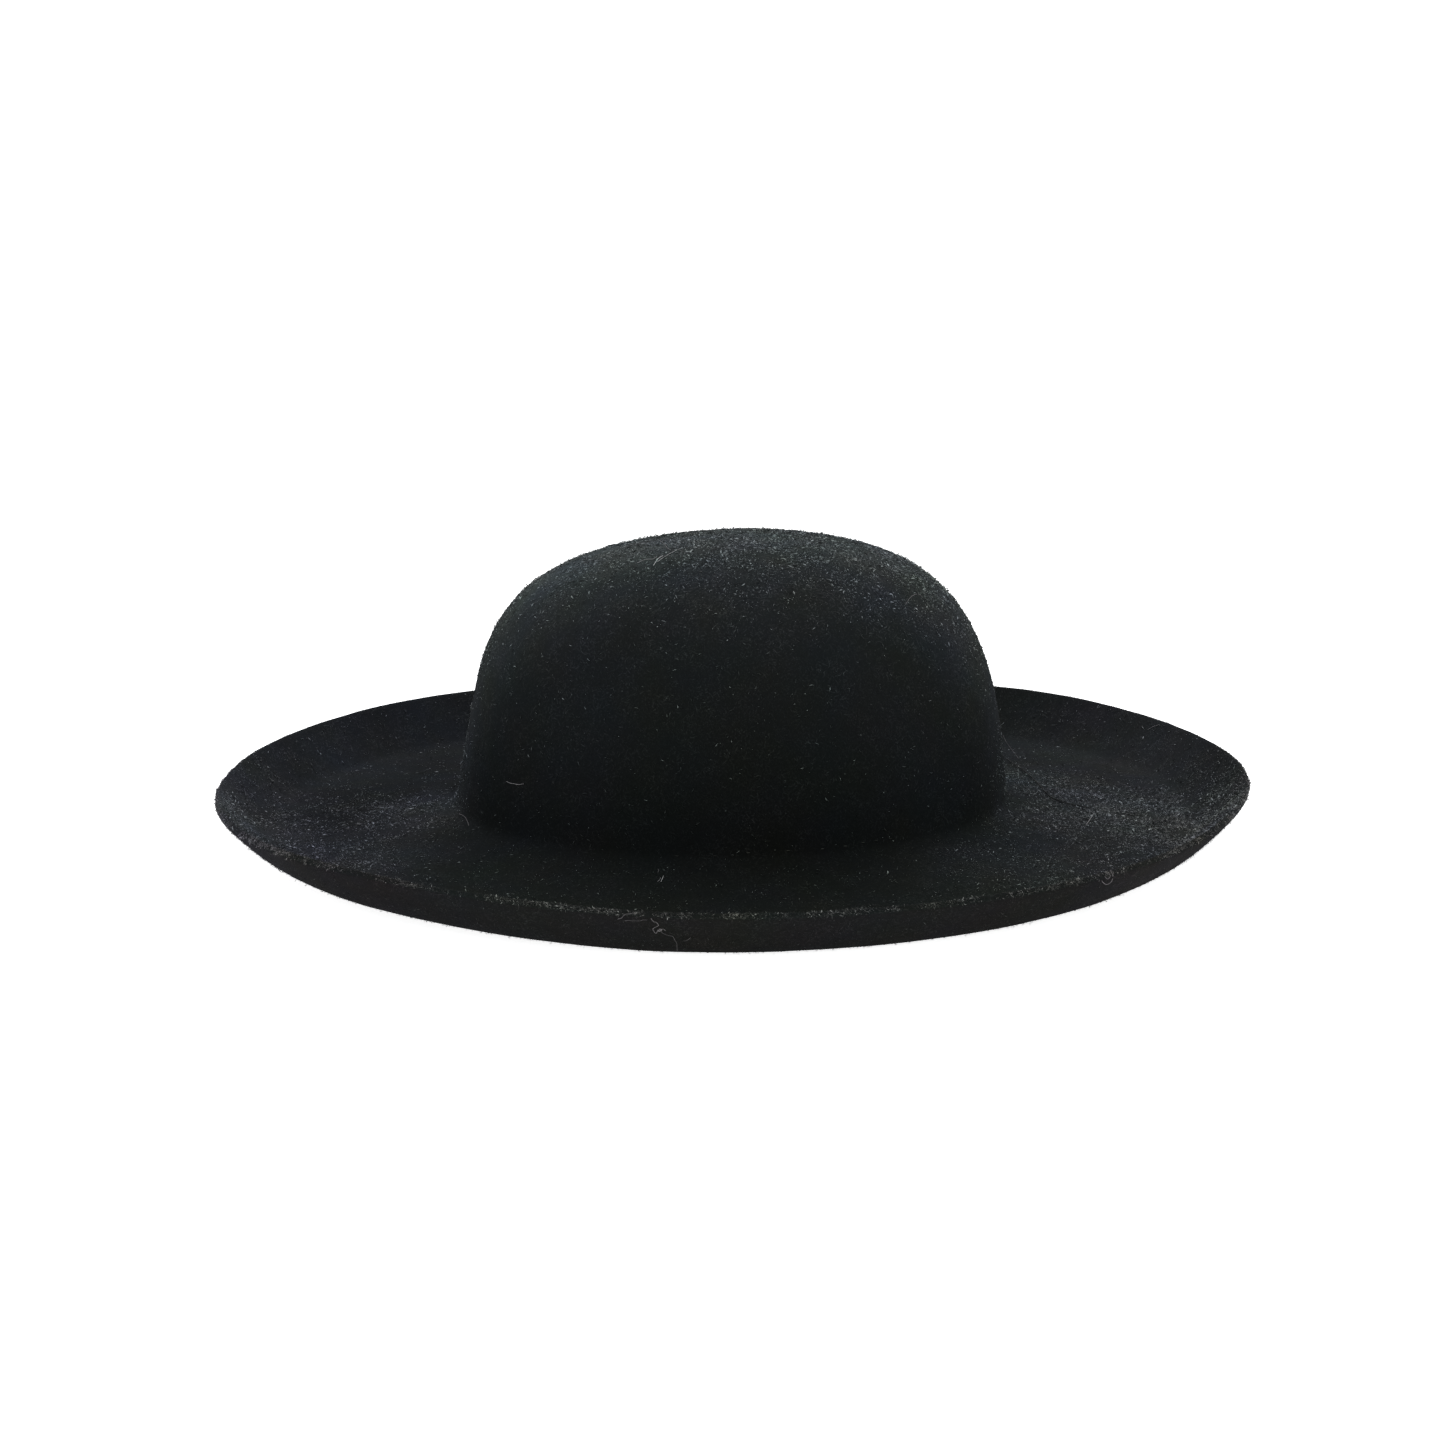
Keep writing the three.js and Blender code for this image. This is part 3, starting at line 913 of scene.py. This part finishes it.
print("kinds of fibre:", list(FIBRE_KINDS))

# %% Patches, loose places and dust
PATCH_SIZE = 8 * MM
PATCH_CONTRAST = 0.9
BAREST_PATCH = 0.02
CLEAN_BELOW = 0.24  # of the looseness, below which hardly any dust lies
LEAST_DUST = 0.13


def patchiness(places, size):
    """Smooth noise from 0 to 1 at each place, in patches of this size."""
    values = np.array([noise.noise(Vector(place) / size) for place in places])
    return np.clip(0.5 + values * PATCH_CONTRAST, BAREST_PATCH, 1)


def loose_at(places):
    """The greyness group's Loose value at each place."""
    total = np.full(len(places), ON_AVERAGE)
    for spot in SPOTS:
        near = np.clip(1 - lengths(places - np.array(spot["place"]) * MM) / (spot["radius"] * MM), 0, 1)
        total += spot["loose"] * near * near * (3 - 2 * near)
    return np.clip(total, 0, 1)


patches = patchiness(middles, PATCH_SIZE)
looseness = loose_at(middles)
dust = np.clip((looseness - CLEAN_BELOW) / (1 - CLEAN_BELOW), LEAST_DUST, 1)
print("looseness from", round(float(looseness.min()), 2), "to", round(float(looseness.max()), 2))

# %% Chance places on a zone
TUFT_SIZE = 2.5 * MM


def spots_on(zone, count, chance, kind):
    """Chance places on a zone's triangles with the felt's direction there."""
    rows = np.flatnonzero(zone)
    weights = areas[rows] * zone[rows] * patches[rows] ** kind["clumped"] * dust[rows] ** kind["dusty"]
    chosen = chance.choice(rows, 2 * count, p=weights / weights.sum())
    first, second = chance.random(2 * count), chance.random(2 * count)
    over = first + second > 1
    first[over], second[over] = 1 - first[over], 1 - second[over]
    shares = np.stack([1 - first - second, first, second], axis=1)[:, :, None]
    places = (triangle_places[chosen] * shares).sum(axis=1)
    tufts = patchiness(places, TUFT_SIZE) ** kind["tufted"]
    kept = chance.choice(2 * count, count, replace=False, p=tufts / tufts.sum())
    facing = unit((triangle_normals[chosen[kept]] * shares[kept]).sum(axis=1))
    return places[kept], facing, looseness[chosen[kept]]


print("helper:", spots_on.__name__, "with tufts of", TUFT_SIZE / MM, "mm")

# %% Fibres on a zone
LIFT_SPREAD = 0.6  # as a share of a kind's lift
LIFT_LIMITS = (2, 85)  # degrees
SHORTNESS = 2  # a power of chance that makes short fibres more common than long ones
SWAY = 0.10  # how far a fibre's middle bends sideways, as a share of its length
ARCH = (0.02, 0.15)  # and how far it bends off the felt
ROOT_DEPTH = 0.3  # how far a root sits in the felt, as a share of the fibre's width
CLEAN_TONE = 0.65  # how pale fibres are where nothing is loose, as a share of the full tone


def grow(zone, kind_name, count, chance):
    """Roots, ways, bends, widths and tones of this many fibres of one kind on a zone."""
    kind = FIBRE_KINDS[kind_name]
    places, facing, loose = spots_on(zone, count, chance, kind)
    brushed = np.array([0, 0, 1.0]) * kind["brushed"]
    around = unit(np.cross(facing, chance.normal(size=(count, 3)) + brushed))
    lift = chance.normal(kind["lift"], kind["lift"] * LIFT_SPREAD, count)
    rise = np.radians(np.clip(lift, *LIFT_LIMITS))
    direction = around * np.cos(rise)[:, None] + facing * np.sin(rise)[:, None]
    shortest, longest = kind["length"]
    reach = (shortest + (longest - shortest) * chance.random(count) ** SHORTNESS) * MM
    side = unit(np.cross(direction, facing))
    sway = chance.normal(0, SWAY, count) * reach
    bends = side * sway[:, None] + facing * (reach * chance.uniform(*ARCH, count))[:, None]
    widths = chance.uniform(*kind["width"], count) * MM
    darkest, palest = kind["tone"]
    paler = CLEAN_TONE + (1 - CLEAN_TONE) * loose
    tones = darkest + (palest - darkest) * chance.random(count) ** kind["rare"] * paler
    roots = places - facing * widths[:, None] * ROOT_DEPTH
    return roots, direction * reach[:, None], bends, widths, tones


print("helper:", grow.__name__, "with a lift from", LIFT_LIMITS[0], "to", LIFT_LIMITS[1], "degrees")


# %% Helper: a finished piece
def add_piece(name, mesh, finish, slot=None):
    """A finished piece that moves with the hat."""
    mesh.materials.append(finish)
    piece = bpy.data.objects.new(name, mesh)
    bpy.context.scene.collection.objects.link(piece)
    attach(piece, "root")
    print(name, "with", len(mesh.polygons), "faces")
    return piece


print("helper:", add_piece.__name__)

# %% Pieces: the nap of the crown, the brim and the underside
SEED = 1888
chance = np.random.default_rng(SEED)
NAP_COUNTS = {  # piece, then zone, kind and how many
    "crown_nap": (("crown", "matted", 14000), ("crown", "stray", 8000), ("crown", "dark", 1000)),
    "crown_dust": (("crown", "speck", 19000),),
    "brim_nap": (("brim", "matted", 19000), ("brim", "stray", 8000), ("brim", "dark", 3000)),
    "brim_dust": (("brim", "speck", 32000),),
    # The underside's nap is all dark fibres, to keep to its painted shade.
    "under_nap": (("underside", "dark", 16000), ("inside", "dark", 5000), ("inside", "matted", 3000)),
    "rim_nap": (("curl", "bristle", 14000),),
}


def grow_piece(name, rows, finish):
    """One piece of fibres from rows of zone, kind and count."""
    growths = [grow(zones[zone], kind, count, chance) for zone, kind, count in rows]
    joined = [np.concatenate(parts) for parts in zip(*growths)]
    return add_piece(name, fibre_mesh(name, *joined), finish, "wool_felt")


for name, rows in NAP_COUNTS.items():
    grow_piece(name, rows, nap_finish)

# %% [markdown]
# ## The cut edge
#
# Where the brim was trimmed, fibre ends stick out of the cut. Handling has worked them into a
# broken line of pale fluff. It could be painted on the edge, but then the outline would stay
# sharp, so it is grown as the nap is: cut ends, fluff that lies low and partly along the edge,
# and a few bristles. Cut ends and fluff gather in tufts, with long bare stretches between.
#
# Towards the hat's left side the fluff fades out, and the edge there stays dark and clean. A zone
# can hold a number from 0 to 1 for each triangle in place of yes and no, and so it fades out there.

# %% Piece: edge fluff
FLUFF_UP_TO = 60 * MM  # the fluff ends this far to the hat's left of its middle
FLUFF_FADES_OVER = 100 * MM
LEAST_FLUFF = 0.06
fluff_share = np.clip((FLUFF_UP_TO - middles[:, 1]) / FLUFF_FADES_OVER, LEAST_FLUFF, 1.0)
zones["fluffed_edge"] = zones["cut_edge"] * fluff_share
zones["fluffed_lip"] = zones["edge_lip"] * fluff_share
EDGE_COUNTS = (("fluffed_edge", "cut end", 11000), ("fluffed_lip", "fluff", 5400), ("cut_edge", "bristle", 3000))
grow_piece("edge_fluff", EDGE_COUNTS, fluff_finish)

# %% [markdown]
# ## Threads, hairs and lint
#
# A few things lie on the felt that its own nap doesn't explain: a row of small stitches at the
# crown's foot, one long dark hair, and some curls of lint. Each is a thin round tube along a
# smooth line. A curve object with a bevel would give the tube too, but a mesh carries the number
# "tone" that the fibres' finish reads. The photo shows where each thing lies, so its line is
# given by a few pixels, and a ray from the camera through each pixel finds the spot on the felt.

# %% The felt behind a pixel
felt_tree = BVHTree.FromPolygons(
    [tuple(v.co) for v in felt_body.data.vertices], [tuple(f.vertices) for f in felt_body.data.polygons],
)


def ray_through(pixel):
    """The direction from the camera through a pixel of the photo."""
    across = (pixel[0] - PHOTO_SIDE / 2) / FOCAL_PIXELS
    down = (pixel[1] - PHOTO_SIDE / 2) / FOCAL_PIXELS
    return (camera_axis + camera_right * across - camera_up * down).normalized()


def on_felt(pixel, height):
    """The point of the felt that a pixel of the photo shows, raised off it by a height."""
    place, facing, _, _ = felt_tree.ray_cast(camera_place, ray_through(pixel))
    if place is None:
        raise ValueError(f"no felt behind pixel {pixel}")
    return np.array(place + facing * height)


picture_middle = (PHOTO_SIDE / 2, PHOTO_SIDE / 2)
print("felt behind the picture's middle, in mm:", (on_felt(picture_middle, 0.0) / MM).round(1).tolist())


# %% A smooth line
def smooth_line(points, steps):
    """A smooth line through the points, with this many steps between each two."""
    ends = np.concatenate([[2 * points[0] - points[1]], points, [2 * points[-1] - points[-2]]])
    shares = np.linspace(0, 1, steps, endpoint=False)[:, None]
    line = []
    for before, start, end, after in zip(ends, ends[1:], ends[2:], ends[3:]):
        bend = 2 * before - 5 * start + 4 * end - after
        swing = -before + 3 * start - 3 * end + after
        line.append(start + 0.5 * shares * (end - before + shares * (bend + shares * swing)))
    return np.concatenate([*line, points[-1:]])


print("a line through 3 points, in 4 steps each, has", len(smooth_line(np.eye(3), 4)), "points")

# %% A tube along a line
TUBE_SIDES = 5
START_SIDE = (0.3, 0.5, 0.8)  # a direction that no line here follows
END_WIDTH = 0.5  # as a share of the tube's width


def tube(line, width, tone):
    """Points, faces and tones of a closed tube along a line, thinner at its ends."""
    ways = unit(np.gradient(line, axis=0))
    side = np.cross(ways[0], START_SIDE)
    points = []
    for number, (centre, way) in enumerate(zip(line, ways)):
        side = side - way * side.dot(way)
        side /= np.linalg.norm(side)
        other = np.cross(way, side)
        at_end = number in (0, len(line) - 1)
        radius = width / 2 * (END_WIDTH if at_end else 1.0)
        for turn in np.arange(TUBE_SIDES) / TUBE_SIDES * math.tau:
            points.append(centre + (side * math.cos(turn) + other * math.sin(turn)) * radius)
    faces = []
    for ring in range(len(line) - 1):
        for step in range(TUBE_SIDES):
            near = ring * TUBE_SIDES + step
            far = ring * TUBE_SIDES + (step + 1) % TUBE_SIDES
            faces.append((near, far, far + TUBE_SIDES, near + TUBE_SIDES))
    faces.append(tuple(reversed(range(TUBE_SIDES))))
    faces.append(tuple(range(len(points) - TUBE_SIDES, len(points))))
    return np.array(points), faces, np.full(len(points), tone)


def tube_mesh(name, tubes):
    """Several tubes as one mesh."""
    mesh = bpy.data.meshes.new(name)
    points, faces, tones = [], [], []
    for tube_points, tube_faces, tube_tones in tubes:
        first = sum(len(part) for part in points)
        points.append(tube_points)
        tones.append(tube_tones)
        faces += [tuple(first + corner for corner in face) for face in tube_faces]
    mesh.from_pydata(np.concatenate(points).tolist(), [], faces)
    mesh.attributes.new("tone", "FLOAT", "POINT").data.foreach_set("value", np.concatenate(tones))
    mesh.shade_smooth()
    return mesh


print("helpers:", tube.__name__, "and", tube_mesh.__name__, "with", TUBE_SIDES, "sides")

# %% [markdown]
# ### Small stitches
#
# The faint row at the crown's foot, on the hat's right side, is what shows of a thread that
# holds something inside. Each stitch is a short dash that dips into the felt at both ends.

# %% Piece: stitches
STITCH_PIXELS = (
    (677, 856), (715, 856), (748, 852.6), (788, 850.7), (822, 848.8), (845, 846), (862.6, 842.5),
    (876, 840.6), (890, 838.8),
)
STITCH_LENGTH = 1.5 * MM
STITCH_WIDTH = 0.32 * MM
STITCH_ARCH = 0.15 * MM  # its middle's height off the felt
STITCH_DIP = 0.2 * MM  # its ends' depth in the felt
STITCH_TONES = (0.3, 0.9)
STITCH_STEPS = 4  # from its middle to each end


def make_stitch(pixel, tone):
    """A dash that arches out of the felt and back in."""
    middle = on_felt(pixel, 0.0)
    along = np.array(camera_right) * STITCH_LENGTH / 2
    out = np.array(-camera_axis)
    down = out * STITCH_DIP
    arch = [middle - along - down, middle + out * STITCH_ARCH, middle + along - down]
    return tube(smooth_line(np.array(arch), STITCH_STEPS), STITCH_WIDTH, tone)


stitch_tones = chance.uniform(*STITCH_TONES, len(STITCH_PIXELS))
stitches = [make_stitch(pixel, tone) for pixel, tone in zip(STITCH_PIXELS, stitch_tones)]
add_piece("foot_stitches", tube_mesh("foot_stitches", stitches), thread_finish)

# %% [markdown]
# ### Hairs and lint
#
# The dark hair on the brim is one long smooth line. A true hair is so thin that it wouldn't show
# against black felt, so it is drawn thicker and lies on top of the nap. Lint is pale and short,
# and its "crimp" moves each point of its line by chance, so that it curls.
#
# Where a line runs over a fold of the brim, the felt behind its next pixel can lie much deeper,
# and a line laid there would jump. It keeps its distance from the camera instead.

# %% Lines that lie on the felt
DEEPEST_DROP = 3 * MM  # for each pixel along a line
CRIMPED_STEPS = 2  # between two spots of a line, before it is crimped
SMOOTH_STEPS = 5  # and between two crimped points


def behind(pixels, height):
    """Spots on the felt behind these pixels. Where the felt drops away, a line stays level."""
    spots = np.array([on_felt(pixel, height) for pixel in pixels])
    eye = np.array(camera_place)
    away = lengths(spots - eye)
    numbers = range(len(pixels))
    forwards = list(zip(numbers, numbers[1:]))
    backwards = [(far, near) for near, far in reversed(forwards)]
    for near, far in forwards + backwards:
        drop = away[far] - away[near]
        if drop > DEEPEST_DROP * math.dist(pixels[near], pixels[far]):
            spots[far] = eye + (spots[far] - eye) * away[near] / away[far]
            away[far] = away[near]
    return spots


def laid_tube(pixels, width, tone, above, crimp):
    """A tube through these pixels, this far above the felt. Its crimp makes it wander."""
    spots = behind(pixels, width / 2 + above)
    line = smooth_line(spots, CRIMPED_STEPS)
    wander = chance.normal(0, crimp, line.shape)
    return tube(smooth_line(line + wander, SMOOTH_STEPS), width, tone)


print("a line stays level where the felt drops more than", DEEPEST_DROP / MM, "mm in a pixel")

# %% Piece: a dark hair
DARK_HAIR = (
    (1007, 760), (1012, 764.5), (1023.3, 772), (1031.4, 778.7), (1041.6, 789.4), (1049.8, 798), (1057, 801.6),
    (1072.2, 806.2), (1082.4, 808.3), (1090.6, 809.8),
)
HAIR_WIDTH = 0.42 * MM
HAIR_TONE = 0.05
HAIR_ABOVE = 0.45 * MM  # between the felt and the hair
LEAST_CRIMP = 0.02  # mm
hair = laid_tube(DARK_HAIR, HAIR_WIDTH, HAIR_TONE, HAIR_ABOVE, LEAST_CRIMP * MM)
add_piece("dark_hair", tube_mesh("dark_hair", [hair]), hair_finish)

# %% Piece: pale lint
LINT_ABOVE = 0.1 * MM
PALE_LINT = (  # width and crimp in mm, tone from 0, dark, to 1, pale
    {"width": 0.16, "tone": 0.34, "crimp": 0.06, "pixels": (
        (651, 917.8), (652.4, 920), (654, 921.4), (656.2, 921.6), (658, 923.6), (658.6, 925.4),
        (656.6, 926.3), (654.4, 927.2), (652.9, 928.8), (653.8, 930.8), (655.4, 932.6), (657.4, 931.2),
        (660, 929.7), (663.5, 928.4), (665.2, 930.2))},
    {"width": 0.18, "tone": 0.42, "crimp": 0.05, "pixels": (
        (657.6, 929.4), (659.4, 930.8), (661.6, 929.4), (660.4, 928.3), (658.8, 929.6))},
    {"width": 0.13, "tone": 0.12, "crimp": 0.04, "pixels": (
        (660.5, 930.6), (662.6, 932.6), (668, 935), (672.7, 936), (674.8, 939.7), (676.8, 943.8),
        (677.4, 951))},
    {"width": 0.14, "tone": 0.28, "crimp": 0.06, "pixels": (
        (618, 919), (621.7, 917.2), (624.2, 914.9), (629, 914), (633.4, 913.4), (635.5, 915.2))},
    {"width": 0.12, "tone": 0.16, "crimp": 0.05, "pixels": (
        (625, 919.9), (632.4, 920.5), (639.6, 920.6), (643.1, 919.3), (647.2, 919.7))},
    {"width": 0.12, "tone": 0.16, "crimp": 0.05, "pixels": (
        (661, 917.4), (661.6, 915), (663, 913.8), (667.6, 913.7))},
    {"width": 0.12, "tone": 0.12, "crimp": 0.05, "pixels": ((683.4, 940.7), (687, 939.9), (690.6, 937.2))},
    {"width": 0.15, "tone": 0.50, "crimp": 0.07, "pixels": (
        (1110.5, 870.5), (1112.6, 875), (1111.5, 880.5), (1107, 884), (1103, 882.5), (1101.8, 880))},
    {"width": 0.13, "tone": 0.42, "crimp": 0.07, "pixels": (
        (1104, 876.5), (1107.5, 878.5), (1110, 876), (1107, 874), (1105, 872.5))},
    {"width": 0.15, "tone": 0.80, "pixels": ((1094, 813), (1090, 819.5), (1086, 825))},
    {"width": 0.14, "tone": 0.65, "pixels": ((1148, 730), (1153, 727), (1160, 724.5))},
    {"width": 0.15, "tone": 0.70, "crimp": 0.08, "pixels": (
        (507, 781), (511, 783.5), (515, 783.8), (519, 784.6), (524, 783.6))},
    {"width": 0.20, "tone": 0.95, "pixels": ((653.5, 566), (656, 562), (659, 558.5), (663, 556))},
    {"width": 0.17, "tone": 0.85, "pixels": ((657, 562.5), (664, 557.5), (671, 553.5), (680, 549))},
    {"width": 0.14, "tone": 0.75, "pixels": ((637, 563.5), (645, 560), (652.5, 559.5), (657, 557))},
    {"width": 0.13, "tone": 0.70, "pixels": ((660, 541), (664, 544), (668, 549), (673, 551))},
    {"width": 0.13, "tone": 0.15, "pixels": ((1003, 735), (1006, 742), (1013, 751.6), (1018.7, 759.3))},
    {"width": 0.13, "tone": 0.50, "pixels": ((459, 814), (464, 816), (467, 820), (469, 826))},
    {"width": 0.14, "tone": 0.55, "pixels": ((865, 556), (872, 550.5), (878, 553), (880, 558))},
    {"width": 0.12, "tone": 0.50, "pixels": ((905, 605), (910, 598), (917, 594), (922, 597))},
    {"width": 0.20, "tone": 0.95, "pixels": ((663.4, 876), (662.4, 879), (660.8, 882.3))},
    {"width": 0.14, "tone": 0.70, "pixels": ((660.5, 878), (659.5, 880.5), (657.5, 882))},
    {"width": 0.12, "tone": 0.60, "pixels": ((658, 869), (658.4, 871), (658, 873))},
)
lint = [
    laid_tube(row["pixels"], row["width"] * MM, row["tone"], LINT_ABOVE, row.get("crimp", LEAST_CRIMP) * MM)
    for row in PALE_LINT
]
add_piece("pale_lint", tube_mesh("pale_lint", lint), lint_finish)

# %% [markdown]
# ## Sizes
#
# The finished hat must be as large as the CAD part, apart from its nap.

# %% The scene brought up to date
bpy.context.view_layer.update()
